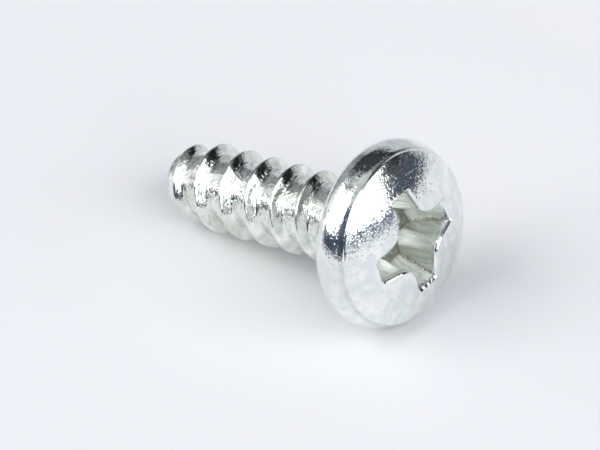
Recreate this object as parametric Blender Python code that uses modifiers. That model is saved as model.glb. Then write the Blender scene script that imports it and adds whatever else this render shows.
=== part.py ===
"""Thread-forming screw with a low crowned head and a cross recess, lying on its head rim and last threads.

The screw is one cold-formed piece. It is built upright about its own axis, with the bearing face at
height 0, the head above it and the shank below, and is then laid down with its head towards +X.
"""

import math

import bmesh
import bpy
from mathutils import Matrix, Vector, geometry

MM = 0.001

# Shank and thread
LENGTH = 9.7 * MM  # from the bearing face to the blunt end
THREAD_DIAMETER = 3.4 * MM
CORE_DIAMETER = 2.6 * MM
PITCH = 1.3 * MM
CREST_WIDTH = 0.1 * MM
FLANK_ANGLE = math.radians(30)  # of each flank to the plane across the axis
ROOT_ROUNDING = 0.25 * MM
THREAD_PHASE = math.radians(194)  # turn of the whole helix about the axis

# Blunt tip, where core and thread taper together
TIP_DIAMETER = 2.2 * MM
TIP_LENGTH = 1.4 * MM
TIP_THREAD_SHARE = 0.45  # thread height left at the end face
TIP_CHAMFER = 0.15 * MM
TIP_BEVEL_ANGLE = math.radians(75)  # to the axis, of the cut across the first turn of thread

# Run-out, where the thread fades into the plain neck under the head
RUNOUT_START = 1.35 * MM  # below the bearing face
RUNOUT_LENGTH = 0.8 * MM
NECK_ROUNDING = 0.3 * MM
NECK_OVERLAP = 0.06 * MM  # how far the neck rounding ends inside the core

# Head
HEAD_DIAMETER = 7.3 * MM
HEAD_HEIGHT = 2.42 * MM
CROWN_RADIUS = 7.5 * MM
SIDE_ANGLE = math.radians(17)  # of the side wall to the axis, where it leaves the rim
SIDE_RADIUS = 4.5 * MM  # of the bow of the side wall
RIM_ROUNDING = 0.75 * MM
CREASE_ROUNDING = 0.12 * MM

# Cross recess, measured where its wings meet the crown
RECESS_DIAMETER = 4.12 * MM
RECESS_DEPTH = 1.6 * MM  # from the wing ends at the crown to the foot of the wings
RECESS_FOOT_DIAMETER = 2.52 * MM  # over the wing ends at their foot, as the tip of the driver
WING_WIDTH = 0.94 * MM
WING_SIDE_ANGLE = math.radians(3)
LOBE_RADIUS = 0.75 * MM  # of the rounded metal between two wings
LOBE_DISTANCE = 1.13 * MM  # from the axis to the nearest point of that metal
LOBE_ANGLE = math.radians(6)
FLOOR_ANGLE = math.radians(20)  # of the conical floor to the plane across the axis
RECESS_TURN = math.radians(6.5)  # of the cross about the axis

# Fineness of the facets
THREAD_STEPS = 40
HEAD_STEPS = 56
CROWN_STEPS = 5
SIDE_STEPS = 3
RIM_STEPS = 6
FILLET_STEPS = 3
LOBE_STEPS = 6
WELD = 0.001 * MM
OVERRUN = 0.3 * MM  # how far a blank or a cutter runs past the face it meets

ZINC_COLOUR = (0.74, 0.76, 0.78, 1.0)
ZINC_ROUGHNESS = 0.22

THREAD_RADIUS = THREAD_DIAMETER / 2
CORE_RADIUS = CORE_DIAMETER / 2
HEAD_RADIUS = HEAD_DIAMETER / 2
RECESS_FOOT_RADIUS = RECESS_FOOT_DIAMETER / 2
WING_END_ANGLE = math.atan((RECESS_DIAMETER / 2 - RECESS_FOOT_RADIUS) / RECESS_DEPTH)  # to the axis


def clear_scene():
    for old in list(bpy.data.objects):
        bpy.data.objects.remove(old, do_unlink=True)


def new_collection(name):
    collection = bpy.data.collections.new(name)
    bpy.context.scene.collection.children.link(collection)
    return collection


def zinc_plate():
    material = bpy.data.materials.new("zinc_plate")
    material.use_nodes = True
    shader = material.node_tree.nodes["Principled BSDF"]
    shader.inputs["Base Color"].default_value = ZINC_COLOUR
    shader.inputs["Metallic"].default_value = 1.0
    shader.inputs["Roughness"].default_value = ZINC_ROUGHNESS
    return material


def arc(centre, radius, start, end, steps):
    """Points (r, z) along an arc, with angles from the +r direction."""
    angles = [start + (end - start) * i / steps for i in range(steps + 1)]
    return [centre + radius * Vector((math.cos(a), math.sin(a))) for a in angles]


def fillet(before, corner, after, radius, steps):
    """Points of the tangent arc that rounds the corner between two straight stretches."""
    to_before = (before - corner).normalized()
    to_after = (after - corner).normalized()
    half = to_before.angle(to_after) / 2
    centre = corner + (to_before + to_after).normalized() * radius / math.sin(half)
    start = corner + to_before * radius / math.tan(half) - centre
    end = corner + to_after * radius / math.tan(half) - centre
    sweep = start.angle_signed(end)
    return [centre + Matrix.Rotation(-sweep * i / steps, 2) @ start for i in range(steps + 1)]


def profile_object(name, points, collection):
    """A chain of edges in the XZ plane through points (r, z)."""
    mesh = bpy.data.meshes.new(name)
    edges = [(i, i + 1) for i in range(len(points) - 1)]
    mesh.from_pydata([(r, 0.0, z) for r, z in points], edges, [])
    profile = bpy.data.objects.new(name, mesh)
    collection.objects.link(profile)
    return profile


def turn(profile, steps):
    """Turn a profile that starts and ends on the axis into a closed solid."""
    screw = profile.modifiers.new("turned", "SCREW")
    screw.axis = "Z"
    screw.steps = steps
    screw.render_steps = steps
    screw.use_merge_vertices = True
    screw.merge_threshold = WELD
    screw.use_smooth_shade = True


def evaluated_mesh(thing):
    """A mesh of its own with the object's modifiers in it."""
    bpy.context.view_layer.update()
    depsgraph = bpy.context.evaluated_depsgraph_get()
    return bpy.data.meshes.new_from_object(thing.evaluated_get(depsgraph))


def tooth_profile():
    """Section of one pitch of thread, from root middle over the crest to root middle, top to bottom."""
    crest = CREST_WIDTH / 2
    foot = crest + (THREAD_RADIUS - CORE_RADIUS) * math.tan(FLANK_ANGLE)
    upper = fillet(
        Vector((CORE_RADIUS, PITCH / 2)),
        Vector((CORE_RADIUS, foot)),
        Vector((THREAD_RADIUS, crest)),
        ROOT_ROUNDING,
        FILLET_STEPS,
    )
    half = [Vector((CORE_RADIUS, PITCH / 2))] + upper + [Vector((THREAD_RADIUS, crest))]
    return half + [Vector((r, -z)) for r, z in reversed(half)]


def thread_fade(height):
    """Share of the full thread height at a height along the axis."""
    into_runout = (height + RUNOUT_START) / RUNOUT_LENGTH
    into_tip = (height + LENGTH) / TIP_LENGTH
    at_head = 1.0 - min(max(into_runout, 0.0), 1.0)
    at_tip = TIP_THREAD_SHARE + (1.0 - TIP_THREAD_SHARE) * min(max(into_tip, 0.0), 1.0)
    return at_head * at_tip


def core_radius_at(height):
    into_tip = min(max((height + LENGTH) / TIP_LENGTH, 0.0), 1.0)
    return TIP_DIAMETER / 2 + (CORE_RADIUS - TIP_DIAMETER / 2) * into_tip


def close_between(bm, bottom, top):
    """Cut an open tube along the axis level at both heights and cap it."""
    for height, outward in ((bottom, -1.0), (top, 1.0)):
        bmesh.ops.bisect_plane(
            bm,
            geom=bm.verts[:] + bm.edges[:] + bm.faces[:],
            dist=WELD,
            plane_co=(0.0, 0.0, height),
            plane_no=(0.0, 0.0, outward),
            clear_outer=True,
        )
    bmesh.ops.holes_fill(bm, edges=[edge for edge in bm.edges if edge.is_boundary])


def threaded_rod(collection):
    """Core and thread as one helical sweep, faded at both ends, from below the tip to inside the head."""
    turns_below = math.ceil(LENGTH / PITCH) + 1
    profile = profile_object("thread_profile", tooth_profile(), collection)
    sweep = profile.modifiers.new("helix", "SCREW")
    sweep.axis = "Z"
    sweep.screw_offset = PITCH
    sweep.iterations = turns_below + 1
    sweep.steps = THREAD_STEPS
    sweep.render_steps = THREAD_STEPS
    mesh = evaluated_mesh(profile)
    bpy.data.objects.remove(profile)

    bm = bmesh.new()
    bm.from_mesh(mesh)
    bmesh.ops.remove_doubles(bm, verts=bm.verts, dist=WELD)
    bmesh.ops.rotate(bm, verts=bm.verts, matrix=Matrix.Rotation(THREAD_PHASE, 3, "Z"))
    bmesh.ops.translate(bm, verts=bm.verts, vec=(0.0, 0.0, -turns_below * PITCH))
    for vert in bm.verts:
        radius = math.hypot(vert.co.x, vert.co.y)
        faded = core_radius_at(vert.co.z) + (radius - CORE_RADIUS) * thread_fade(vert.co.z)
        vert.co.x *= faded / radius
        vert.co.y *= faded / radius
    close_between(bm, -LENGTH - OVERRUN, OVERRUN)
    bm.to_mesh(mesh)
    bm.free()
    mesh.name = "screw"
    rod = bpy.data.objects.new("screw", mesh)
    collection.objects.link(rod)
    return rod


def tip_envelope(collection):
    """Turned solid round the shank whose lower end is the chamfered blunt tip."""
    tip_radius = TIP_DIAMETER / 2
    bevel_height = TIP_CHAMFER + (HEAD_RADIUS - tip_radius) / math.tan(TIP_BEVEL_ANGLE)
    points = [
        (0.0, HEAD_HEIGHT),
        (HEAD_RADIUS, HEAD_HEIGHT),
        (HEAD_RADIUS, bevel_height - LENGTH),
        (tip_radius, TIP_CHAMFER - LENGTH),
        (tip_radius - TIP_CHAMFER, -LENGTH),
        (0.0, -LENGTH),
    ]
    envelope = profile_object("tip_envelope", points, collection)
    turn(envelope, HEAD_STEPS)
    return envelope


def crown_height_at(radius):
    return HEAD_HEIGHT - CROWN_RADIUS + math.sqrt(CROWN_RADIUS**2 - radius**2)


def arcs_meet(first_centre, first_radius, second_centre, second_radius):
    """The outer of the two points where two arcs of a half section cross."""
    hits = geometry.intersect_sphere_sphere_2d(first_centre, first_radius, second_centre, second_radius)
    return max(hits, key=lambda hit: hit.x)


def head_profile():
    """Half section of the head, from the top of the crown down to the stub inside the core."""
    rim_centre = Vector((HEAD_RADIUS - RIM_ROUNDING, RIM_ROUNDING))
    rim = arc(rim_centre, RIM_ROUNDING, SIDE_ANGLE, -math.pi / 2, RIM_STEPS)
    side_centre = rim[0] - SIDE_RADIUS * Vector((math.cos(SIDE_ANGLE), math.sin(SIDE_ANGLE)))
    crown_centre = Vector((0.0, HEAD_HEIGHT - CROWN_RADIUS))
    crease = arcs_meet(side_centre, SIDE_RADIUS, crown_centre, CROWN_RADIUS)
    crown_angle = math.atan2(crease.y - crown_centre.y, crease.x)
    side_angle = math.atan2(crease.y - side_centre.y, crease.x - side_centre.x)
    trim = CREASE_ROUNDING * math.tan((crown_angle - side_angle) / 2)
    crown = arc(crown_centre, CROWN_RADIUS, math.pi / 2, crown_angle + trim / CROWN_RADIUS, CROWN_STEPS)
    side = arc(side_centre, SIDE_RADIUS, side_angle - trim / SIDE_RADIUS, SIDE_ANGLE, SIDE_STEPS)
    up_the_crown = Vector((-math.sin(crown_angle), math.cos(crown_angle)))
    crease_arc = fillet(crease + up_the_crown, crease, side[0], CREASE_ROUNDING, FILLET_STEPS)
    neck_centre = Vector((CORE_RADIUS - NECK_OVERLAP + NECK_ROUNDING, -NECK_ROUNDING))
    neck = arc(neck_centre, NECK_ROUNDING, math.pi / 2, math.pi, FILLET_STEPS)
    return crown[:-1] + crease_arc[:-1] + side + rim[1:] + neck + [Vector((0.0, -NECK_ROUNDING))]


def head_blank(collection):
    head = profile_object("head_blank", head_profile(), collection)
    turn(head, HEAD_STEPS)
    head.rotation_euler.z = math.pi / HEAD_STEPS
    return head


def recess_outline(depth):
    """Outline of the cross recess at a depth below the wing ends, with its wings along X and Y."""
    wing_end = RECESS_DIAMETER / 2 - depth * math.tan(WING_END_ANGLE)
    half_width = WING_WIDTH / 2 - depth * math.tan(WING_SIDE_ANGLE)
    lobe_distance = LOBE_DISTANCE - depth * math.tan(LOBE_ANGLE) + LOBE_RADIUS
    lobe_centre = Vector((lobe_distance, lobe_distance)) / math.sqrt(2)
    corner = Vector((wing_end, half_width))
    to_corner = corner - lobe_centre
    start = math.atan2(to_corner.y, to_corner.x) - math.acos(LOBE_RADIUS / to_corner.length)
    lobe = arc(lobe_centre, LOBE_RADIUS, start, -1.5 * math.pi - start, LOBE_STEPS)
    quarter = [corner] + lobe + [corner.yx]
    return [Matrix.Rotation(wing * math.pi / 2, 2) @ point for wing in range(4) for point in quarter]


def floor_depth_at(radius):
    """Depth of the conical floor below the wing ends at the crown."""
    return RECESS_DEPTH + (RECESS_FOOT_RADIUS - radius) * math.tan(FLOOR_ANGLE)


def recess_cutter(collection):
    """The cross as a tapering loft from above the crown down to its conical floor."""
    wing_height = crown_height_at(RECESS_DIAMETER / 2)
    top_depth = wing_height - HEAD_HEIGHT - OVERRUN
    top = [point.to_3d() + Vector((0.0, 0.0, -top_depth)) for point in recess_outline(top_depth)]
    foot = []
    for i, point in enumerate(recess_outline(RECESS_DEPTH)):
        depth = floor_depth_at(point.length)
        foot.append(recess_outline(depth)[i].to_3d() + Vector((0.0, 0.0, -depth)))
    bm = bmesh.new()
    rings = [[bm.verts.new(place) for place in places] for places in (top, foot)]
    edges = [bm.edges.new((vert, ring[i - 1])) for ring in rings for i, vert in enumerate(ring)]
    bmesh.ops.bridge_loops(bm, edges=edges)
    bm.faces.new(rings[0])
    floor = bmesh.ops.poke(bm, faces=[bm.faces.new(rings[1])])
    floor["verts"][0].co = (0.0, 0.0, -floor_depth_at(0.0))
    bmesh.ops.recalc_face_normals(bm, faces=bm.faces)
    bmesh.ops.translate(bm, verts=bm.verts, vec=(0.0, 0.0, wing_height))
    bmesh.ops.rotate(bm, verts=bm.verts, matrix=Matrix.Rotation(RECESS_TURN, 3, "Z"))
    mesh = bpy.data.meshes.new("recess_cutter")
    bm.to_mesh(mesh)
    bm.free()
    cutter = bpy.data.objects.new("recess_cutter", mesh)
    collection.objects.link(cutter)
    return cutter


def boolean(target, tool, operation):
    step = target.modifiers.new(tool.name, "BOOLEAN")
    step.object = tool
    step.operation = operation
    step.solver = "EXACT"
    tool.hide_render = True
    tool.display_type = "WIRE"


def resting_tilt(mesh):
    """Tilt of the axis at which the rim of the head and one crest near the tip touch the surface together."""
    below = [Vector((vert.co.z, vert.co.x)) for vert in mesh.vertices if vert.co.x > CORE_RADIUS]
    rim = [point for point in below if point.x > 0.0]
    crests = [point for point in below if point.x < -LENGTH / 2]
    slopes = [max((corner.y - crest.y) / (corner.x - crest.x) for corner in rim) for crest in crests]
    return math.atan(min(slopes))


def lay_down(screw, holder):
    """Turn the upright screw onto its side and set it on the ground, centred on the origin."""
    tilt = resting_tilt(evaluated_mesh(screw))
    holder.rotation_euler.y = math.pi / 2 - tilt
    bpy.context.view_layer.update()
    corners = [screw.matrix_world @ vert.co for vert in evaluated_mesh(screw).vertices]
    lows = [min(corner[axis] for corner in corners) for axis in range(3)]
    highs = [max(corner[axis] for corner in corners) for axis in range(3)]
    holder.location = (-(lows[0] + highs[0]) / 2, -(lows[1] + highs[1]) / 2, -lows[2])


def main():
    clear_scene()
    parts = new_collection("thread_forming_screw")
    cutters = new_collection("cutters")
    holder = bpy.data.objects.new("resting_frame", None)
    parts.objects.link(holder)

    screw = threaded_rod(parts)
    screw.data.materials.append(zinc_plate())
    boolean(screw, tip_envelope(cutters), "INTERSECT")
    boolean(screw, head_blank(cutters), "UNION")
    boolean(screw, recess_cutter(cutters), "DIFFERENCE")
    for thing in [screw] + list(cutters.objects):
        thing.parent = holder
    lay_down(screw, holder)


main()
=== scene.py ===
"""Thread-forming screw with a low crowned head and a cross recess, dressed in bright zinc plate.

The screw is built upright about its own axis, with the bearing face of the head at height 0 and the
shank below it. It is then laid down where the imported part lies, on the rim of its head and a crest
near the tip.
"""

import math

import bmesh
import bpy
from bpy.props import FloatProperty, FloatVectorProperty, PointerProperty
from mathutils import Matrix, Vector, geometry
from mathutils import noise as noise_field


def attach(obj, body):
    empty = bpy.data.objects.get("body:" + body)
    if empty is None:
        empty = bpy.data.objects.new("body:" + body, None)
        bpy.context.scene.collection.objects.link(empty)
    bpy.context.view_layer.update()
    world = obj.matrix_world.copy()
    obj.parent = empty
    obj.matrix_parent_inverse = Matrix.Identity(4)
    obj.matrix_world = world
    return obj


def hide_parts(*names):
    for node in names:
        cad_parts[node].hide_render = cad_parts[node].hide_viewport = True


bl_info = {
    "name": "Thread-forming screw",
    "version": (1, 0, 0),
    "blender": (4, 5, 0),
    "location": "3D View > Sidebar > Screw",
    "description": "Builds a zinc plated thread-forming screw and the stage it lies on",
    "category": "Add Mesh",
}

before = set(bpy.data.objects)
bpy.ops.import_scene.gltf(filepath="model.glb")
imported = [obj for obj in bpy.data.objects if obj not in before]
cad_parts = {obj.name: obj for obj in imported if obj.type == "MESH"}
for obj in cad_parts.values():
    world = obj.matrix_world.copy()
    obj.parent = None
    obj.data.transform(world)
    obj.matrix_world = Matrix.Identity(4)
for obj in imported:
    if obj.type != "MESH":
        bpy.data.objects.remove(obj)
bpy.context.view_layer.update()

MM = 0.001
WELD = 0.0005 * MM

# Fineness of the facets, along the section of the thread and round the shank
VALLEY_STEPS = 3
ROOT_STEPS = 6
FLANK_STEPS = 4
CREST_STEPS = 3
THREAD_STEPS = 144
TIP_CUTS = (0.05, 0.2, 0.5, 1.0)  # heights of level cuts above the end face, as shares of the tip chamfer

# Fineness down the section of the head
CREASE_STEPS = 6
SIDE_SHARES = [0.012 * i for i in range(18)] + [0.25, 0.3, 0.4, 0.55, 0.7, 0.85, 1.0]  # finest at the draw mark
RIM_STEPS = 20
BEARING_STEPS = 6
NECK_STEPS = 10

# Fineness along one eighth of the recess's outline, and round the whole head
WING_END_STEPS = 5
CORNER_STEPS = 4
WING_SIDE_STEPS = 6
LOBE_STEPS = 13
RING_STEPS = 8 * (WING_END_STEPS + CORNER_STEPS + WING_SIDE_STEPS + LOBE_STEPS)

# Rings from the edge of the crown to the middle of the recess
CROWN_RINGS = 14
EDGE_RINGS = 4
WALL_RINGS = 12
FLOOR_RINGS = 6
FLOOR_COVER = 0.95  # share of the floor that the rings cover


def length(name, description, value):
    """A length, given in millimetres."""
    return FloatProperty(name=name, description=description, default=value * MM, unit="LENGTH", precision=5)


def angle(name, description, degrees):
    """An angle, given in degrees."""
    return FloatProperty(name=name, description=description, default=math.radians(degrees), subtype="ANGLE")


def share(name, description, value, top=1.0):
    """A plain number from 0 to the top."""
    return FloatProperty(name=name, description=description, default=value, min=0.0, max=top)


def colour(name, description, value):
    """A colour with its opacity."""
    return FloatVectorProperty(
        name=name, description=description, default=value, subtype="COLOR", size=4, min=0.0, max=1.0
    )


class ShankSizes(bpy.types.PropertyGroup):
    """Sizes of the shank, its thread and its blunt tip."""

    length: length("Length", "From the bearing face to the blunt end", 9.695)
    thread_diameter: length("Thread diameter", "Over the crests", 3.385)
    core_diameter: length("Core diameter", "Between the turns of thread", 2.6)
    pitch: length("Pitch", "From one turn to the next", 1.3)
    crest_width: length("Crest width", "Flat on top of the thread", 0.1)
    crest_rounding: length("Crest rounding", "Radius at both edges of the crest", 0.05)
    flank_angle: angle("Flank angle", "Of each flank to the plane across the axis", 30.0)
    root_rounding: length("Root rounding", "Radius where a flank meets the core", 0.13)
    phase: angle("Thread phase", "Turn of the whole helix about the axis", 194.0)
    tip_diameter: length("Tip diameter", "Of the core at the end face", 2.2)
    tip_length: length("Tip length", "Over which core and thread taper", 1.4)
    tip_thread_share: share("Tip thread share", "Thread height left at the end face", 0.45)
    tip_chamfer: length("Tip chamfer", "Round the end face", 0.15)
    tip_bevel_angle: angle("Tip bevel angle", "Of the cut across the first turn, to the axis", 75.0)
    runout_start: length("Run-out start", "Below the bearing face", 1.35)
    runout_length: length("Run-out length", "Over which the thread fades", 0.8)


class HeadSizes(bpy.types.PropertyGroup):
    """Sizes of the head and of the neck under it."""

    diameter: length("Head diameter", "Over the rim", 7.278)
    height: length("Head height", "From the bearing face to the crown", 2.412)
    crown_radius: length("Crown radius", "Of the domed face", 7.5)
    side_angle: angle("Side angle", "Of the side wall to the axis, where it leaves the rim", 17.0)
    side_radius: length("Side radius", "Of the bow of the side wall", 4.5)
    rim_rounding: length("Rim rounding", "Radius between side wall and bearing face", 0.747)
    crease_rounding: length("Crease rounding", "Radius between side wall and crown", 0.07)
    groove_depth: length("Groove depth", "Of the shallow draw mark below the crease", 0.022)
    groove_drop: length("Groove drop", "From the crease to the bottom of that mark", 0.09)
    groove_length: length("Groove length", "From there to where the side wall is plain", 0.14)
    neck_rounding: length("Neck rounding", "Radius between bearing face and shank", 0.3)
    neck_cover: length("Neck cover", "How far the neck stands proud of the core", 0.003)
    neck_length: length("Neck length", "Plain neck below the bearing face", 0.45)


class RecessSizes(bpy.types.PropertyGroup):
    """Sizes of the cross recess."""

    diameter: length("Recess diameter", "Over the wings at the crown", 4.12)
    depth: length("Recess depth", "From the wing ends at the crown to their foot", 1.6)
    foot_diameter: length("Foot diameter", "Over the wing ends at their foot", 2.52)
    wing_width: length("Wing width", "At the crown", 0.94)
    wing_side_angle: angle("Wing side angle", "Of the wing sides to the axis", 3.0)
    lobe_radius: length("Lobe radius", "Of the rounded metal between two wings", 0.75)
    lobe_distance: length("Lobe distance", "From the axis to that metal", 1.13)
    lobe_angle: angle("Lobe angle", "Of that metal to the axis", 6.0)
    floor_angle: angle("Floor angle", "Of the conical floor", 20.0)
    turn: angle("Turn", "Of the cross about the axis", 6.5)
    corner_rounding: length("Corner rounding", "At the wing ends", 0.06)
    edge_rounding: length("Edge rounding", "Where the walls meet the crown", 0.13)
    edge_wear: length("Edge wear", "How far the edge strays from its line", 0.012)


class RestingPlace(bpy.types.PropertyGroup):
    """Where the screw lies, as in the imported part."""

    tilt: angle("Tilt", "Of the axis above level", 12.307124)
    bearing_centre: FloatVectorProperty(
        name="Bearing centre",
        description="Middle of the bearing face",
        default=(3.579945 * MM, 0.0, 3.413327 * MM),
        subtype="XYZ",
        unit="LENGTH",
        precision=6,
    )


class PlateFinish(bpy.types.PropertyGroup):
    """Look of the zinc plate."""

    plate_colour: colour("Plate colour", "Of the bright plate", (0.80, 0.84, 0.83, 1.0))
    band_colour: colour("Band colour", "Of the bands along the recess walls", (0.74, 0.79, 0.73, 1.0))
    # This colour also paints shade: the darker line and wall below the crease, and, together with residue, the foot
    # of the recess
    residue_and_shade_colour: colour("Residue colour", "Of the residue in the recess and the marks", (0.17, 0.18, 0.145, 1.0))
    corner_colour: colour("Corner colour", "Of the grains in the corners of the wings", (0.30, 0.25, 0.16, 1.0))
    shank_colour: colour("Shank colour", "Of the plate on the shank", (0.73, 0.755, 0.70, 1.0))
    film_colour: colour("Film colour", "Where the passivation is thicker", (0.98, 1.0, 0.97, 1.0))
    roughness: share("Roughness", "Of the clean plate", 0.06)
    worn_roughness: share("Worn roughness", "Of the dull patches", 0.14)
    recess_roughness: share("Recess roughness", "Of the pressed walls", 0.36)
    grain_size: length("Grain size", "Width of one grain of the plate", 0.034)
    grain_tilt: share("Grain tilt", "How far the grains lean on the head", 0.095)
    rolled_tilt: share("Rolled grain tilt", "How far the grains lean on the shank", 0.08)


class StageSettings(bpy.types.PropertyGroup):
    """Floor, light and camera."""

    floor_colour: colour("Floor colour", "Of the paper", (0.835, 0.835, 0.87, 1.0))
    # Painted light: the paper far from the screw is lighter, where the lamps light it less
    far_light_colour: colour("Far colour", "Of the paper beyond the picture", (0.87, 0.87, 0.89, 1.0))
    # Painted light: the paper beside the shank is lighter than the rest, which lifts the shadow there
    near_light_colour: colour("Near colour", "Of the paper beside the shank", (0.865, 0.873, 0.878, 1.0))
    lamp_radiance: share("Lamp brightness", "Of the soft boxes", 2.85, 10.0)
    azimuth: angle("Camera azimuth", "From the front towards the head", 40.824)
    elevation: angle("Camera elevation", "Above the floor", 38.351)
    roll: angle("Camera roll", "About the line of sight", -1.978)
    distance: length("Camera distance", "To the bearing face", 250.0)
    scale: share("Image scale", "Image points to a millimetre", 26.593, 1000.0)
    aim_right: share("Aim right", "Image points from the middle to the bearing face", 72.4, 600.0)
    aim_down: share("Aim down", "Image points from the middle to the bearing face", 4.06, 450.0)


# Sections and small tools


def arc(centre, radius, start, end, steps):
    """Points along an arc, with angles from the first axis."""
    angles = [start + (end - start) * i / steps for i in range(steps + 1)]
    return [centre + radius * Vector((math.cos(a), math.sin(a))) for a in angles]


def fillet(before, corner, after, radius, steps):
    """Points of the tangent arc that rounds a corner between two straight stretches."""
    to_before = (before - corner).normalized()
    to_after = (after - corner).normalized()
    half = to_before.angle(to_after) / 2
    centre = corner + (to_before + to_after).normalized() * radius / math.sin(half)
    start = corner + to_before * radius / math.tan(half) - centre
    end = corner + to_after * radius / math.tan(half) - centre
    sweep = start.angle_signed(end)
    return [centre + Matrix.Rotation(-sweep * i / steps, 2) @ start for i in range(steps + 1)]


def between(start, end, steps):
    """Points between two ends, without the ends."""
    return [start.lerp(end, i / steps) for i in range(1, steps)]


def ramp(value):
    """The value, kept from 0 to 1."""
    return min(max(value, 0.0), 1.0)


def smooth(value):
    """0 up to 0, 1 from 1, and a smooth passage between them."""
    t = ramp(value)
    return t * t * (3 - 2 * t)


def over(value, start, end):
    """0 up to the start of a stretch, 1 from its end, and a smooth passage between them."""
    return smooth((value - start) / (end - start))


def profile_mesh(points):
    """A chain of edges in the XZ plane through points (radius, height)."""
    bm = bmesh.new()
    verts = [bm.verts.new((r, 0.0, z)) for r, z in points]
    for first, second in zip(verts, verts[1:]):
        bm.edges.new((first, second))
    return bm


def new_object(name, bm):
    """An object in the scene with the finished mesh."""
    mesh = bpy.data.meshes.new(name)
    bm.to_mesh(mesh)
    bm.free()
    thing = bpy.data.objects.new(name, mesh)
    bpy.context.scene.collection.objects.link(thing)
    return thing


# Shank


def tooth_profile(shank):
    """Section of one pitch of thread, from root middle over the crest to root middle, top to bottom."""
    top = shank.thread_diameter / 2
    core = shank.core_diameter / 2
    crest = shank.crest_width / 2
    foot = Vector((core, crest + (top - core) * math.tan(shank.flank_angle)))
    edge = Vector((top, crest))
    root = Vector((core, shank.pitch / 2))
    at_root = fillet(root, foot, edge, shank.root_rounding, ROOT_STEPS)
    at_crest = fillet(foot, edge, Vector((top, 0.0)), shank.crest_rounding, CREST_STEPS)
    valley = between(root, at_root[0], VALLEY_STEPS)
    flank = between(at_root[-1], at_crest[0], FLANK_STEPS)
    half = [root] + valley + at_root + flank + at_crest
    return half + [Vector((r, -z)) for r, z in reversed(half)]


def core_radius_at(shank, height):
    """Radius between the turns at a height along the axis."""
    into_tip = ramp((height + shank.length) / shank.tip_length)
    return (shank.tip_diameter + (shank.core_diameter - shank.tip_diameter) * into_tip) / 2


def thread_fade(shank, height):
    """Share of the full thread height at a height along the axis."""
    into_runout = ramp((height + shank.runout_start) / shank.runout_length)
    into_tip = ramp((height + shank.length) / shank.tip_length)
    return (1.0 - into_runout) * (shank.tip_thread_share + (1.0 - shank.tip_thread_share) * into_tip)


def tip_envelope_at(shank, height):
    """Radius that the rounded end and the cut across the first turn leave at a height near the tip."""
    above_end = height + shank.length
    edge = shank.tip_diameter / 2
    if above_end < shank.tip_chamfer:
        left = 1.0 - above_end / shank.tip_chamfer
        return edge - shank.tip_chamfer * (1.0 - math.sqrt(max(1.0 - left**2, 0.0)))
    return edge + (above_end - shank.tip_chamfer) * math.tan(shank.tip_bevel_angle)


def smaller_of(first, second, rounding):
    """The smaller of two lengths, with a rounded passage from one to the other."""
    t = ramp(0.5 + 0.5 * (second - first) / rounding)
    return second + (first - second) * t - rounding * t * (1.0 - t)


def cut_level(bm, height, clear_above=False, clear_below=False):
    """Cut along a plane across the axis."""
    bmesh.ops.bisect_plane(
        bm,
        geom=bm.verts[:] + bm.edges[:] + bm.faces[:],
        dist=WELD,
        plane_co=(0.0, 0.0, height),
        plane_no=(0.0, 0.0, 1.0),
        clear_outer=clear_above,
        clear_inner=clear_below,
    )


def threaded_rod(shank, top):
    """Core and thread as one helical sweep, tapered at the tip and faded out under the head."""
    bm = profile_mesh(tooth_profile(shank))
    bmesh.ops.spin(
        bm,
        geom=bm.verts[:] + bm.edges[:],
        cent=(0.0, 0.0, 0.0),
        axis=(0.0, 0.0, 1.0),
        dvec=(0.0, 0.0, shank.pitch / THREAD_STEPS),
        angle=math.tau,
        steps=THREAD_STEPS,
    )
    bmesh.ops.rotate(bm, verts=bm.verts, matrix=Matrix.Rotation(shank.phase, 3, "Z"))
    one_turn = bm.verts[:] + bm.edges[:] + bm.faces[:]
    for turn in range(1, math.ceil(shank.length / shank.pitch) + 2):
        copied = bmesh.ops.duplicate(bm, geom=one_turn)["geom"]
        verts = [item for item in copied if isinstance(item, bmesh.types.BMVert)]
        bmesh.ops.translate(bm, verts=verts, vec=(0.0, 0.0, -turn * shank.pitch))
    bmesh.ops.remove_doubles(bm, verts=bm.verts, dist=WELD)
    cut_level(bm, -shank.length, clear_below=True)
    cut_level(bm, top, clear_above=True)
    for part in TIP_CUTS:
        cut_level(bm, part * shank.tip_chamfer - shank.length)
    core = shank.core_diameter / 2
    for vert in bm.verts:
        radius = vert.co.xy.length
        height = vert.co.z
        faded = core_radius_at(shank, height) + (radius - core) * thread_fade(shank, height)
        trimmed = smaller_of(faded, tip_envelope_at(shank, height), shank.tip_chamfer / 2)
        vert.co.xy *= trimmed / radius
    bmesh.ops.holes_fill(bm, edges=[edge for edge in bm.edges if edge.is_boundary])
    bmesh.ops.recalc_face_normals(bm, faces=bm.faces)
    return new_object("threaded_rod", bm)


# Head and recess

EDGE_WAVES = 0.13 * MM  # length of the slow waves of the worn edge
EDGE_NICKS = 0.05 * MM
NICK_SHARE = 0.6  # of the nicks, against the waves


def crown_height_at(head, radius):
    """Height of the crown above the bearing face at a distance from the axis."""
    return head.height - head.crown_radius + math.sqrt(head.crown_radius**2 - radius**2)


def arcs_meet(first_centre, first_radius, second_centre, second_radius):
    """The outer of the two points where two arcs of a half section cross."""
    hits = geometry.intersect_sphere_sphere_2d(first_centre, first_radius, second_centre, second_radius)
    return max(hits, key=lambda hit: hit.x)


def groove_at(head, distance):
    """Depth of the draw mark at a distance down the side wall from the crease."""
    into_mark = smooth(distance / head.groove_drop)
    return head.groove_depth * into_mark * (1.0 - smooth((distance - head.groove_drop) / head.groove_length))


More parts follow.
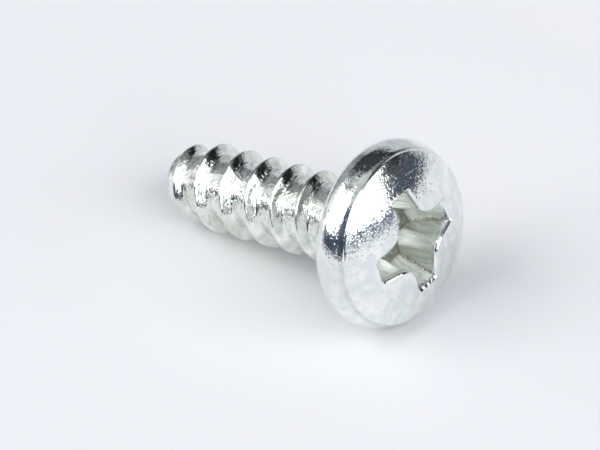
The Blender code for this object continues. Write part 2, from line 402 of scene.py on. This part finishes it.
def head_profile(head, neck_radius):
    """Half section of the head, from the edge of the crown over the rim to the stub inside the core."""
    rim_centre = Vector((head.diameter / 2 - head.rim_rounding, head.rim_rounding))
    rim = arc(rim_centre, head.rim_rounding, head.side_angle, -math.pi / 2, RIM_STEPS)
    side_centre = rim[0] - head.side_radius * Vector((math.cos(head.side_angle), math.sin(head.side_angle)))
    crown_centre = Vector((0.0, head.height - head.crown_radius))
    crease = arcs_meet(side_centre, head.side_radius, crown_centre, head.crown_radius)
    crown_angle = math.atan2(crease.y - crown_centre.y, crease.x)
    side_angle = math.atan2(crease.y - side_centre.y, crease.x - side_centre.x)
    trim = head.crease_rounding * math.tan((crown_angle - side_angle) / 2)
    side_start = side_angle - trim / head.side_radius
    side = []
    for share_down in SIDE_SHARES:
        turned = side_start + (head.side_angle - side_start) * share_down
        radius = head.side_radius - groove_at(head, (side_start - turned) * head.side_radius)
        side.append(side_centre + radius * Vector((math.cos(turned), math.sin(turned))))
    up_the_crown = Vector((-math.sin(crown_angle), math.cos(crown_angle)))
    crease_arc = fillet(crease + up_the_crown, crease, side[0], head.crease_rounding, CREASE_STEPS)
    neck_centre = Vector((neck_radius + head.neck_rounding, -head.neck_rounding))
    neck = arc(neck_centre, head.neck_rounding, math.pi / 2, math.pi, NECK_STEPS)
    bearing_face = between(rim[-1], neck[0], BEARING_STEPS)
    stub = [Vector((neck_radius, -head.neck_length)), Vector((0.0, -head.neck_length))]
    return crease_arc + side[1:-1] + rim + bearing_face + neck + stub


def wing_at(recess, depth):
    """Half length and half width of a wing at a depth below the wing ends."""
    slope = (recess.diameter - recess.foot_diameter) / 2 / recess.depth
    return recess.diameter / 2 - depth * slope, recess.wing_width / 2 - depth * math.tan(recess.wing_side_angle)


def recess_section(recess, depth):
    """Outline of the cross at a depth below the wing ends, a full ring that starts mid-wing on +X."""
    wing_end, half_width = wing_at(recess, depth)
    reach = recess.lobe_distance - depth * math.tan(recess.lobe_angle) + recess.lobe_radius
    lobe_centre = Vector((reach, reach)) / math.sqrt(2)
    corner = Vector((wing_end, half_width))
    to_corner = corner - lobe_centre
    start = math.atan2(to_corner.y, to_corner.x) - math.acos(recess.lobe_radius / to_corner.length)
    lobe = arc(lobe_centre, recess.lobe_radius, start, -0.75 * math.pi, LOBE_STEPS)
    middle = Vector((wing_end, 0.0))
    rounded = fillet(middle, corner, lobe[0], recess.corner_rounding, CORNER_STEPS)
    wing_end_face = between(middle, rounded[0], WING_END_STEPS)
    wing_side = between(rounded[-1], lobe[0], WING_SIDE_STEPS)
    half = [middle] + wing_end_face + rounded + wing_side + lobe
    quarter = half[:-1] + [point.yx for point in reversed(half[1:])]
    return [Matrix.Rotation(wing * math.pi / 2, 2) @ point for wing in range(4) for point in quarter]


def floor_depth_at(recess, radius):
    """Depth of the conical floor below the wing ends at the crown."""
    return recess.depth + (recess.foot_diameter / 2 - radius) * math.tan(recess.floor_angle)


def outward_of(ring):
    """Unit vectors that point out of a closed ring of points, at each point."""
    along = [ring[(i + 1) % len(ring)] - ring[i - 1] for i in range(len(ring))]
    return [Vector((step.y, -step.x)).normalized() for step in along]


def wander(point):
    """A value about 0 that strays along an edge, in slow waves with small nicks."""
    waves = noise_field.noise(point.to_3d() / EDGE_WAVES)
    nicks = noise_field.noise(point.to_3d() / EDGE_NICKS)
    return waves + NICK_SHARE * nicks


def next_ring(bm, ring, places):
    """Extrude a closed ring of vertices and set each new vertex to its place."""
    edges = [bm.edges.get((vert, ring[i - 1])) for i, vert in enumerate(ring)]
    made = bmesh.ops.extrude_edge_only(bm, edges=edges)
    fresh = {item for item in made["geom"] if isinstance(item, bmesh.types.BMVert)}
    grown = []
    for vert, place in zip(ring, places):
        new = next(edge.other_vert(vert) for edge in vert.link_edges if edge.other_vert(vert) in fresh)
        grown.append(new)
        new.co = place
    return grown


def crown_rings(head, recess, edge_radius):
    """Rings from the edge of the crown over the rounded edge of the recess and down to its floor."""
    wing_height = crown_height_at(head, recess.diameter / 2)
    top = recess_section(recess, 0.0)
    foot = recess_section(recess, recess.depth)

    def wall_at(i, height):
        return top[i].lerp(foot[i], (wing_height - height) / recess.depth)

    mouth = []
    for i in range(RING_STEPS):
        point = top[i]
        for _ in range(4):  # each time nearer to where the wall meets the crown
            point = wall_at(i, crown_height_at(head, point.length))
        mouth.append(point)
    outward = outward_of(mouth)
    rounding = recess.edge_rounding
    worn = [recess.edge_wear * wander(point) for point in mouth]
    rings = []
    for step in range(1, CROWN_RINGS + 1):
        ring = []
        for i in range(RING_STEPS):
            turned = math.tau * i / RING_STEPS
            start = edge_radius * Vector((math.cos(turned), math.sin(turned)))
            place = start.lerp(mouth[i] + (rounding + worn[i]) * outward[i], step / CROWN_RINGS)
            ring.append(place.to_3d() + Vector((0.0, 0.0, crown_height_at(head, place.length))))
        rings.append(ring)
    for step in range(1, EDGE_RINGS + 1):
        a = step / EDGE_RINGS * math.pi / 2
        ring = []
        for i in range(RING_STEPS):
            height = crown_height_at(head, mouth[i].length) - (rounding + worn[i]) * (1.0 - math.cos(a))
            stray = rounding * (1.0 - math.sin(a)) + worn[i] * math.cos(a / 2)
            place = wall_at(i, height) + stray * outward[i]
            ring.append(Vector((place.x, place.y, height)))
        rings.append(ring)
    lip = rings[-1]
    for step in range(1, WALL_RINGS + 1):
        ring = []
        for i in range(RING_STEPS):
            bottom = wing_height - floor_depth_at(recess, foot[i].length)
            height = lip[i].z + (bottom - lip[i].z) * step / WALL_RINGS
            place = wall_at(i, height)
            ring.append(Vector((place.x, place.y, height)))
        rings.append(ring)
    floor_edge = rings[-1]
    for step in range(1, FLOOR_RINGS + 1):
        inward = 1.0 - FLOOR_COVER * step / FLOOR_RINGS
        ring = []
        for corner in floor_edge:
            place = corner.xy * inward
            ring.append(place.to_3d() + Vector((0.0, 0.0, wing_height - floor_depth_at(recess, place.length))))
        rings.append(ring)
    return rings


def recessed_head(head, recess, neck_radius):
    """The head as a turned shell, closed by the crown, the walls and the floor of the recess."""
    profile = head_profile(head, neck_radius)
    bm = profile_mesh(profile)
    bmesh.ops.spin(
        bm,
        geom=bm.verts[:] + bm.edges[:],
        cent=(0.0, 0.0, 0.0),
        axis=(0.0, 0.0, 1.0),
        angle=math.tau,
        steps=RING_STEPS,
        use_merge=True,
    )
    bmesh.ops.remove_doubles(bm, verts=bm.verts, dist=WELD)
    open_edge = {vert for edge in bm.edges if edge.is_boundary for vert in edge.verts}
    ring = sorted(open_edge, key=lambda vert: math.atan2(vert.co.y, vert.co.x) % math.tau)
    if math.tau - math.atan2(ring[-1].co.y, ring[-1].co.x) % math.tau < math.pi / RING_STEPS:
        ring = ring[-1:] + ring[:-1]
    for places in crown_rings(head, recess, profile[0].x):
        ring = next_ring(bm, ring, places)
    floor = bmesh.ops.contextual_create(bm, geom=[bm.edges.get((v, ring[i - 1])) for i, v in enumerate(ring)])
    bmesh.ops.poke(bm, faces=floor["faces"])
    bmesh.ops.recalc_face_normals(bm, faces=bm.faces)
    bmesh.ops.rotate(bm, verts=bm.verts, matrix=Matrix.Rotation(recess.turn, 3, "Z"))
    return new_object("recessed_head", bm)


# Finished screw

SHARP_ANGLE = math.radians(35)  # past which an edge isn't smoothed


def union(target, other):
    """One closed mesh of two that run into each other."""
    step = target.modifiers.new("union", "BOOLEAN")
    step.object = other
    step.operation = "UNION"
    step.solver = "EXACT"
    bpy.context.view_layer.update()
    mesh = bpy.data.meshes.new_from_object(target.evaluated_get(bpy.context.evaluated_depsgraph_get()))
    bpy.data.objects.remove(target)
    bpy.data.objects.remove(other)
    return mesh


# Attributes of the mesh that tell the plate where it lies, and the stretch over which each comes in or goes out
ZONES = ("film", "deep_residue_and_shade", "corner", "side", "rolled", "valley")
# Painted shade on the side wall: a dark line just below the crease, and a slight darkening of the whole wall below
# the crown
SHADE_LINE_STARTS = (0.05 * MM, 0.10 * MM)  # dark line on the side wall, below the crown
SHADE_LINE_ENDS = (0.16 * MM, 0.26 * MM)
WALL_SHADE_STARTS = (0.0, 0.10 * MM)  # side wall, below the crown
SHADE_LINE_STRENGTH = 0.55
WALL_SHADE_STRENGTH = 0.2
FILM_STARTS = (0.08 * MM, 0.33 * MM)  # pressed walls of the recess, below the crown
WINGS_START = (0.85 * MM, 1.0 * MM)  # from the axis
# Residue and painted shade darken the foot of the wing walls and the floor of the recess over this stretch
RESIDUE_AND_SHADE_ENDS = (0.0, 0.14 * MM)  # above the floor of the recess
CORNER_ENDS = (0.03 * MM, 0.15 * MM)  # from a corner at a wing end
SHANK_STARTS = (0.0, 0.2 * MM)  # below the bearing face
VALLEY_ENDS = (1.35 * MM, 1.5 * MM)  # from the axis


def near_corner(recess, place, depth):
    """1 in the corners at the wing ends, falling to 0 beside them."""
    across = Matrix.Rotation(-recess.turn, 2) @ place.xy
    sides = sorted((abs(across.x), abs(across.y)))
    wing_end, half_width = wing_at(recess, depth)
    return 1.0 - over(math.hypot(wing_end - sides[1], half_width - sides[0]), *CORNER_ENDS)


def mark_zones(mesh, head, recess):
    """Write for each point how far it lies in each zone."""
    for name in ZONES:
        mesh.attributes.new(name, "FLOAT", "POINT")
    film, deep_residue_and_shade, corner, side, rolled, valley = (mesh.attributes[name] for name in ZONES)
    wing_height = crown_height_at(head, recess.diameter / 2)
    for i, vert in enumerate(mesh.vertices):
        radius = vert.co.xy.length
        below_crown = crown_height_at(head, radius) - vert.co.z
        if radius > recess.diameter / 2 and vert.co.z > 0.0:
            # painted shade: a darker line below the crease and a darker side wall
            line = over(below_crown, *SHADE_LINE_STARTS) * (1.0 - over(below_crown, *SHADE_LINE_ENDS))
            side.data[i].value = max(SHADE_LINE_STRENGTH * line, WALL_SHADE_STRENGTH * over(below_crown, *WALL_SHADE_STARTS))
        if radius < recess.diameter / 2 and vert.co.z > 0.0:
            above_floor = vert.co.z - wing_height + floor_depth_at(recess, radius)
            film.data[i].value = over(below_crown, *FILM_STARTS)
            # residue and painted shade at the foot of the recess
            deep_residue_and_shade.data[i].value = over(radius, *WINGS_START) * (1.0 - over(above_floor, *RESIDUE_AND_SHADE_ENDS))
            corner.data[i].value = near_corner(recess, vert.co, wing_height - vert.co.z)
        rolled.data[i].value = over(-vert.co.z, *SHANK_STARTS)
        valley.data[i].value = rolled.data[i].value * (1.0 - over(radius, *VALLEY_ENDS))


def lying_matrix(rest):
    """From the upright screw to the lying one."""
    turn = Matrix.Rotation(math.pi / 2 - rest.tilt, 4, "Y")
    return Matrix.Translation(rest.bearing_centre) @ turn


# Plate

# Depths are shares of the bump depth, and strengths are the most that a colour covers
BUMP_DEPTH = 0.006 * MM
WAVE_DEPTH = 0.3
PIT_DEPTH = 1.6
MARK_DEPTH = 2.0
DRAWN_DEPTH = 2.4
MARK_SHAPE = (0.2, 0.2, 1.0)  # runs round the shank
DRAWN_SHAPE = (1.0, 1.0, 0.06)  # runs along the axis
STAIN_STRENGTH = 0.7
DOT_STRENGTH = 0.35
LINE_ON_THREAD_STRENGTH = 0.3
SIDE_SHADE_STRENGTH = 0.42

# How far a grain leans: all by the plain share, and the few steep ones by more, above all in the patches
PLAIN_LEAN = 0.7
STRAY_LEAN = 0.5
STRAY_LEAN_IN_PATCHES = 9.0

# Roughness that is added
DULL_GRAIN_ON_HEAD = 0.14
DULL_GRAIN_ON_SHANK = 0.06
DULL_GRAIN_POWER = 4.0  # the higher, the fewer grains are dull
RESIDUE_ROUGHNESS = 0.3


def vector_step(tree, operation, first, second=None, scale=None):
    """Result of a vector node: a number for a length or a dot product, else a vector."""
    made = tree.nodes.new("ShaderNodeVectorMath")
    made.operation = operation
    tree.links.new(first, made.inputs[0])
    if isinstance(second, bpy.types.NodeSocket):
        tree.links.new(second, made.inputs[1])
    elif second is not None:
        made.inputs[1].default_value = second
    if scale is not None:
        tree.links.new(scale, made.inputs["Scale"])
    return made.outputs["Value" if operation in ("LENGTH", "DOT_PRODUCT") else "Vector"]


def math_step(tree, operation, first, second=None, third=None):
    """Result of a math node on numbers and sockets."""
    made = tree.nodes.new("ShaderNodeMath")
    made.operation = operation
    for socket, value in zip(made.inputs, (first, second, third)):
        if isinstance(value, bpy.types.NodeSocket):
            tree.links.new(value, socket)
        elif value is not None:
            socket.default_value = value
    return made.outputs[0]


def map_step(tree, value, low, high, to_low=0.0, to_high=1.0):
    """Smooth passage from one value to another, as the input goes from low to high."""
    made = tree.nodes.new("ShaderNodeMapRange")
    made.interpolation_type = "SMOOTHSTEP"
    made.inputs["From Min"].default_value = low
    made.inputs["From Max"].default_value = high
    made.inputs["To Min"].default_value = to_low
    made.inputs["To Max"].default_value = to_high
    tree.links.new(value, made.inputs["Value"])
    return made.outputs["Result"]


def mix_colours(tree, factor, first, second):
    """The first colour, covered by the second as far as the factor says."""
    made = tree.nodes.new("ShaderNodeMix")
    made.data_type = "RGBA"
    tree.links.new(factor, made.inputs["Factor"])
    for socket, value in ((made.inputs[6], first), (made.inputs[7], second)):
        if isinstance(value, bpy.types.NodeSocket):
            tree.links.new(value, socket)
        else:
            socket.default_value = value
    return made.outputs[2]


def noise(tree, coordinates, size, detail=2.0):
    """Noise with waves of about the given size."""
    made = tree.nodes.new("ShaderNodeTexNoise")
    made.inputs["Scale"].default_value = 1.0 / size
    made.inputs["Detail"].default_value = detail
    tree.links.new(coordinates, made.inputs["Vector"])
    return made.outputs["Fac"]


def zone(tree, name):
    """How far a place lies in one of the zones of the mesh."""
    made = tree.nodes.new("ShaderNodeAttribute")
    made.attribute_name = name
    return made.outputs["Fac"]


def upright_place(tree, place, rest):
    """The place on the upright screw, with its axis along Z."""
    made = tree.nodes.new("ShaderNodeMapping")
    made.vector_type = "TEXTURE"
    made.inputs["Location"].default_value = rest.bearing_centre
    made.inputs["Rotation"].default_value = (0.0, math.pi / 2 - rest.tilt, 0.0)
    tree.links.new(place, made.inputs["Vector"])
    return made.outputs["Vector"]


def leaning_normal(tree, finish, chance, patches, rolled):
    """Normal that leans a little with each grain, and a lot with the few that stray, which lie in patches."""
    lean = vector_step(tree, "SUBTRACT", chance, (0.5, 0.5, 0.5))
    stray = math_step(tree, "POWER", vector_step(tree, "DOT_PRODUCT", lean, lean), 2.0)
    steepness = math_step(tree, "MULTIPLY_ADD", patches, STRAY_LEAN_IN_PATCHES, STRAY_LEAN)
    stray = math_step(tree, "MULTIPLY", stray, steepness)
    lean = vector_step(tree, "SCALE", lean, scale=math_step(tree, "ADD", stray, PLAIN_LEAN))
    more = finish.rolled_tilt - finish.grain_tilt
    tilt = math_step(tree, "MULTIPLY_ADD", rolled, more, finish.grain_tilt)
    lean = vector_step(tree, "SCALE", lean, scale=tilt)
    normal = tree.nodes.new("ShaderNodeNewGeometry").outputs["Normal"]
    return vector_step(tree, "NORMALIZE", vector_step(tree, "ADD", normal, lean))


def relief(tree, place, marks, drawn, valley):
    """Height of the surface: waves and dents everywhere, pits between the threads, and both kinds of marks."""
    pits = map_step(tree, noise(tree, place, size=0.16 * MM, detail=3.0), low=0.50, high=0.62)
    crumple = map_step(tree, noise(tree, place, size=0.5 * MM), low=0.44, high=0.56)
    crumple = math_step(tree, "MULTIPLY", math_step(tree, "MULTIPLY", crumple, valley), PIT_DEPTH)
    dents = math_step(tree, "MULTIPLY_ADD", pits, crumple, noise(tree, place, size=0.15 * MM))
    waves = noise(tree, place, size=0.5 * MM)
    height = math_step(tree, "MULTIPLY_ADD", waves, WAVE_DEPTH, math_step(tree, "MULTIPLY", marks, MARK_DEPTH))
    height = math_step(tree, "ADD", height, dents)
    return math_step(tree, "MULTIPLY_ADD", drawn, DRAWN_DEPTH, height)


def plate_shade(tree, finish, place, marks, drawn, zones):
    """Colour of the plate, with each stain, residue, band and painted shade laid over the one before."""
    clouds = map_step(tree, noise(tree, place, size=0.45 * MM, detail=4.0), low=0.40, high=0.65)
    filmed = math_step(tree, "MAXIMUM", zones["film"], math_step(tree, "MULTIPLY", clouds, STAIN_STRENGTH))
    dots = map_step(tree, noise(tree, place, size=0.06 * MM), low=0.68, high=0.76)
    dots = math_step(tree, "MULTIPLY", dots, DOT_STRENGTH)
    bands = math_step(tree, "MULTIPLY", map_step(tree, drawn, low=0.46, high=0.60), zones["film"])
    specks = map_step(tree, noise(tree, place, size=0.10 * MM, detail=3.0), low=0.35, high=0.60, to_low=0.8)
    # residue and painted shade at the foot of the recess
    dirt_and_shade = math_step(tree, "MULTIPLY", specks, zones["deep_residue_and_shade"])
    grains = map_step(tree, noise(tree, place, size=0.05 * MM), low=0.42, high=0.58)
    grains = math_step(tree, "MULTIPLY", grains, zones["corner"])
    lines_and_side_shade = math_step(tree, "MULTIPLY", map_step(tree, marks, low=0.56, high=0.70), LINE_ON_THREAD_STRENGTH)
    # painted shade on the side wall, below the crease
    lines_and_side_shade = math_step(tree, "MULTIPLY_ADD", zones["side"], SIDE_SHADE_STRENGTH, lines_and_side_shade)
    shade = mix_colours(tree, zones["rolled"], finish.plate_colour, finish.shank_colour)
    for cover, tint in (
        (filmed, finish.film_colour),
        (dots, finish.corner_colour),
        (bands, finish.band_colour),
        (dirt_and_shade, finish.residue_and_shade_colour),
        (grains, finish.corner_colour),
        (lines_and_side_shade, finish.residue_and_shade_colour),
    ):
        shade = mix_colours(tree, cover, shade, tint)
    return shade


def plate_roughness(tree, finish, chance, patches, zones):
    """Roughness of the plate: worn patches, single dull grains, and duller walls and floor in the recess."""
    rough = map_step(tree, patches, 0.0, 1.0, finish.roughness, finish.worn_roughness)
    split = tree.nodes.new("ShaderNodeSeparateXYZ")
    tree.links.new(chance, split.inputs[0])
    few = math_step(tree, "POWER", split.outputs["X"], DULL_GRAIN_POWER)
    more = DULL_GRAIN_ON_SHANK - DULL_GRAIN_ON_HEAD
    dull = math_step(tree, "MULTIPLY_ADD", zones["rolled"], more, DULL_GRAIN_ON_HEAD)
    rough = math_step(tree, "MULTIPLY_ADD", few, dull, rough)
    pressed = math_step(tree, "MULTIPLY", zones["film"], finish.recess_roughness)
    pressed = math_step(tree, "MULTIPLY_ADD", zones["deep_residue_and_shade"], RESIDUE_ROUGHNESS, pressed)
    return math_step(tree, "MAXIMUM", rough, pressed)


def zinc_plate(finish, rest):
    """Bright zinc with a fine grain, thin passivation film and rolled marks on the shank, and painted shade on the
    side wall and at the foot of the recess.
    """
    material = bpy.data.materials.new("zinc_plate")
    material.use_nodes = True
    tree = material.node_tree
    shader = tree.nodes["Principled BSDF"]
    shader.inputs["Metallic"].default_value = 1.0
    zones = {name: zone(tree, name) for name in ZONES}
    place = tree.nodes.new("ShaderNodeTexCoord").outputs["Object"]
    upright = upright_place(tree, place, rest)
    cells = tree.nodes.new("ShaderNodeTexVoronoi")
    cells.inputs["Scale"].default_value = 1.0 / finish.grain_size
    tree.links.new(place, cells.inputs["Vector"])
    chance = cells.outputs["Color"]
    patches = map_step(tree, noise(tree, place, size=0.25 * MM, detail=5.0), low=0.35, high=0.75)
    marks = noise(tree, vector_step(tree, "MULTIPLY", upright, MARK_SHAPE), size=0.16 * MM, detail=3.0)
    marks = math_step(tree, "MULTIPLY", marks, zones["rolled"])
    drawn = noise(tree, vector_step(tree, "MULTIPLY", upright, DRAWN_SHAPE), size=0.16 * MM, detail=4.0)
    drawn = math_step(tree, "MULTIPLY", drawn, zones["film"])

    bump = tree.nodes.new("ShaderNodeBump")
    bump.inputs["Strength"].default_value = 1.0
    bump.inputs["Distance"].default_value = BUMP_DEPTH
    tree.links.new(relief(tree, place, marks, drawn, zones["valley"]), bump.inputs["Height"])
    tree.links.new(leaning_normal(tree, finish, chance, patches, zones["rolled"]), bump.inputs["Normal"])
    tree.links.new(bump.outputs["Normal"], shader.inputs["Normal"])
    tree.links.new(plate_shade(tree, finish, place, marks, drawn, zones), shader.inputs["Base Color"])
    tree.links.new(plate_roughness(tree, finish, chance, patches, zones), shader.inputs["Roughness"])
    return material


class BuildScrew(bpy.types.Operator):
    """Build the screw with its thread, head and cross recess, and lay it down"""

    bl_idname = "screw.build_screw"
    bl_label = "Screw"

    def execute(self, context):
        scene = context.scene
        head = scene.screw_head
        recess = scene.screw_recess
        neck_radius = scene.screw_shank.core_diameter / 2 + head.neck_cover
        rod = threaded_rod(scene.screw_shank, -head.neck_length / 2)
        mesh = union(rod, recessed_head(head, recess, neck_radius))
        mark_zones(mesh, head, recess)
        mesh.transform(lying_matrix(scene.screw_rest))
        mesh.shade_smooth()
        mesh.set_sharp_from_angle(angle=SHARP_ANGLE)
        mesh.name = "fine_screw"
        mesh.materials.clear()
        mesh.materials.append(zinc_plate(scene.screw_finish, scene.screw_rest))
        screw = bpy.data.objects.new("fine_screw", mesh)
        scene.collection.objects.link(screw)
        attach(screw, "root")
        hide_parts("screw")
        return {"FINISHED"}


# Stage


def direction(azimuth, elevation):
    """Unit vector towards a place seen from the screw: azimuth 0 is the front, 90 the head's side."""
    return Vector(
        (
            math.sin(azimuth) * math.cos(elevation),
            -math.cos(azimuth) * math.cos(elevation),
            math.sin(elevation),
        )
    )


LAMP_DISTANCE = 0.6
SOFT_BOXES = (
    # name, azimuth, elevation, width, height and roll as seen from the screw in degrees, share of full power
    ("left_box", -32, 43, 42, 45, 12, 1.1),
    ("right_box", 86, 34, 58, 50, 0, 0.9),
)

ROOM_COLOUR = (0.25, 0.27, 0.29, 1.0)
CEILING_COLOUR = (0.75, 0.78, 0.78, 1.0)
CEILING_EDGE = (math.radians(70), math.radians(75))
ROOM = (
    # azimuth, elevation, half width, half height, soft edge in degrees, colour; each covers those before it
    (-90, 34, 24, 30, 8, (0.36, 0.38, 0.40)),  # grey wall beyond the tip
    (-71, 31, 11, 25, 5, (0.9, 0.92, 0.94)),  # pale strip beside the left box
    (26, 64, 60, 6, 4, (0.9, 0.92, 0.94)),  # pale strip above the front
    (24, 30, 27, 26, 4, (0.13, 0.155, 0.205)),  # dark front between the boxes
    (20, 8, 62, 15, 3, (0.065, 0.085, 0.12)),  # darker foot of the front
    (98, 3, 24, 7, 3, (0.11, 0.15, 0.23)),  # dark foot on the head's side
    (-58, 8, 8, 10, 4, (1.3, 1.3, 1.32)),  # bright spot low beside the tip
    (-92, 2, 18, 5, 3, (0.17, 0.18, 0.20)),  # dark foot beyond the tip
    (-140, 57, 40, 18, 5, (0.05, 0.05, 0.055)),  # dark, high behind the tip
    (140, 55, 22, 9, 4, (0.30, 0.31, 0.32)),  # grey, high behind the head
    (-178, 30, 57, 16, 4, (0.015, 0.015, 0.018)),  # black back
    (134, 5, 16, 9, 3, (0.06, 0.07, 0.10)),  # dark foot behind the head
    (-170, 8, 38, 10, 4, (0.70, 0.72, 0.76)),  # pale foot of the back
    (-150, 14, 25, 20, 6, (0.62, 0.65, 0.70)),  # pale wall behind the tip
)

FLOOR_RADIUS = 3.0
FLOOR_SIDES = 96
# Painted light on the paper beside the shank, which lifts the shadow there
NEAR_CENTRE = (-0.5 * MM, -2.5 * MM, 0.0)  # middle of the tinted paper beside the shank
NEAR_SHAPE = (0.6, 1.0, 0.0)  # longer along the shank
NEAR_EDGE = (1.5 * MM, 6.0 * MM)
# painted light: lighter paper far from the screw, where the lamps light it less
FAR_EDGE = (18.0 * MM, 28.0 * MM)

IMAGE_WIDTH = 600
SENSOR_WIDTH = 36.0
CLIP_START = 0.01


def soft_box(name, azimuth, elevation, width, height, roll, radiance):
    """An area lamp that faces the screw."""
    lamp = bpy.data.lights.new(name, "AREA")
    lamp.shape = "RECTANGLE"
    lamp.size = 2 * LAMP_DISTANCE * math.tan(math.radians(width / 2))
    lamp.size_y = 2 * LAMP_DISTANCE * math.tan(math.radians(height / 2))
    lamp.energy = radiance * math.pi * lamp.size * lamp.size_y
    thing = bpy.data.objects.new(name, lamp)
    towards = direction(math.radians(azimuth), math.radians(elevation))
    thing.location = towards * LAMP_DISTANCE
    facing = towards.to_track_quat("Z", "Y").to_matrix() @ Matrix.Rotation(math.radians(roll), 3, "Z")
    thing.rotation_euler = facing.to_euler()
    bpy.context.scene.collection.objects.link(thing)


def within(tree, offset, half, edge):
    """1 up to half a width to either side and 0 beyond it, with a soft edge."""
    aside = math_step(tree, "ABSOLUTE", offset)
    return map_step(tree, aside, half - edge, half + edge, to_low=1.0, to_high=0.0)


def build_room():
    """A dim room with a bright ceiling and darker and paler places round the screw."""
    world = bpy.data.worlds.new("room")
    world.use_nodes = True
    bpy.context.scene.world = world
    tree = world.node_tree
    way = tree.nodes.new("ShaderNodeTexCoord").outputs["Generated"]
    split = tree.nodes.new("ShaderNodeSeparateXYZ")
    tree.links.new(way, split.inputs[0])
    height = math_step(tree, "ARCSINE", split.outputs["Z"])
    back = math_step(tree, "MULTIPLY", split.outputs["Y"], -1.0)
    bearing = math_step(tree, "ARCTAN2", split.outputs["X"], back)
    shade = mix_colours(tree, map_step(tree, height, *CEILING_EDGE), ROOM_COLOUR, CEILING_COLOUR)
    for *sizes, tint in ROOM:
        azimuth, elevation, half_width, half_height, edge = (math.radians(size) for size in sizes)
        off = math_step(tree, "WRAP", math_step(tree, "SUBTRACT", bearing, azimuth), math.pi, -math.pi)
        rise = math_step(tree, "SUBTRACT", height, elevation)
        cover = math_step(
            tree, "MULTIPLY", within(tree, off, half_width, edge), within(tree, rise, half_height, edge)
        )
        shade = mix_colours(tree, cover, shade, (*tint, 1.0))
    tree.links.new(shade, tree.nodes["Background"].inputs["Color"])


def build_floor(stage):
    """A wide sheet of paper, with painted light: lighter beside the shank, where it lifts the shadow, and lighter
    far from the screw, where the lamps light it less.
    """
    bm = bmesh.new()
    bmesh.ops.create_circle(bm, cap_ends=True, segments=FLOOR_SIDES, radius=FLOOR_RADIUS)
    floor = new_object("floor", bm)
    material = bpy.data.materials.new("paper")
    material.use_nodes = True
    tree = material.node_tree
    shader = tree.nodes["Principled BSDF"]
    place = tree.nodes.new("ShaderNodeTexCoord").outputs["Object"]
    away = vector_step(tree, "SUBTRACT", place, NEAR_CENTRE)
    apart = vector_step(tree, "LENGTH", vector_step(tree, "MULTIPLY", away, NEAR_SHAPE))
    # painted light: lighter paper beside the shank, lifting its shadow
    tint = mix_colours(tree, map_step(tree, apart, *NEAR_EDGE), stage.near_light_colour, stage.floor_colour)
    # painted light: lighter paper far from the screw, where the lamps light it less
    tint = mix_colours(tree, map_step(tree, apart, *FAR_EDGE), tint, stage.far_light_colour)
    tree.links.new(tint, shader.inputs["Base Color"])
    shader.inputs["Roughness"].default_value = 0.9
    shader.inputs["Specular IOR Level"].default_value = 0.2
    floor.data.materials.append(material)


def build_camera(stage, rest):
    """A camera at the photograph's angle, aimed by points of the image."""
    back = direction(stage.azimuth, stage.elevation)
    right = Vector((math.cos(stage.azimuth), math.sin(stage.azimuth), 0.0))
    up = back.cross(right)
    turn = Matrix.Rotation(stage.roll, 3, back)
    place = Matrix((turn @ right, turn @ up, back)).transposed().to_4x4()
    place.translation = Vector(rest.bearing_centre) + back * stage.distance
    camera = bpy.data.objects.new("camera", bpy.data.cameras.new("camera"))
    camera.matrix_world = place
    camera.data.sensor_width = SENSOR_WIDTH
    camera.data.lens = stage.scale * stage.distance / MM / IMAGE_WIDTH * SENSOR_WIDTH
    camera.data.shift_x = -stage.aim_right / IMAGE_WIDTH
    camera.data.shift_y = stage.aim_down / IMAGE_WIDTH
    camera.data.clip_start = CLIP_START
    bpy.context.scene.collection.objects.link(camera)
    bpy.context.scene.camera = camera


class BuildStage(bpy.types.Operator):
    """Build the floor, the room, the soft boxes and the camera"""

    bl_idname = "screw.build_stage"
    bl_label = "Stage"

    def execute(self, context):
        scene = context.scene
        build_floor(scene.screw_stage)
        build_room()
        for name, *place, power in SOFT_BOXES:
            soft_box(name, *place, power * scene.screw_stage.lamp_radiance)
        build_camera(scene.screw_stage, scene.screw_rest)
        scene.view_settings.view_transform = "Standard"
        return {"FINISHED"}


class ScrewPanel(bpy.types.Panel):
    """Buttons and sizes of the screw"""

    bl_idname = "SCREW_PT_build"
    bl_label = "Thread-forming screw"
    bl_space_type = "VIEW_3D"
    bl_region_type = "UI"
    bl_category = "Screw"

    def draw(self, context):
        layout = self.layout
        layout.operator(BuildScrew.bl_idname)
        layout.operator(BuildStage.bl_idname)
        for name, group in SETTINGS:
            box = layout.box()
            settings = getattr(context.scene, name)
            for key in group.__annotations__:
                box.prop(settings, key)


SETTINGS = (
    ("screw_shank", ShankSizes),
    ("screw_head", HeadSizes),
    ("screw_recess", RecessSizes),
    ("screw_rest", RestingPlace),
    ("screw_finish", PlateFinish),
    ("screw_stage", StageSettings),
)

OTHER_CLASSES = (BuildScrew, BuildStage, ScrewPanel)


def register():
    for name, group in SETTINGS:
        bpy.utils.register_class(group)
        setattr(bpy.types.Scene, name, PointerProperty(type=group))
    for cls in OTHER_CLASSES:
        bpy.utils.register_class(cls)


def unregister():
    for cls in reversed(OTHER_CLASSES):
        bpy.utils.unregister_class(cls)
    for name, group in reversed(SETTINGS):
        delattr(bpy.types.Scene, name)
        bpy.utils.unregister_class(group)


def main():
    register()
    bpy.ops.screw.build_screw()
    bpy.ops.screw.build_stage()


if __name__ == "__main__":
    main()
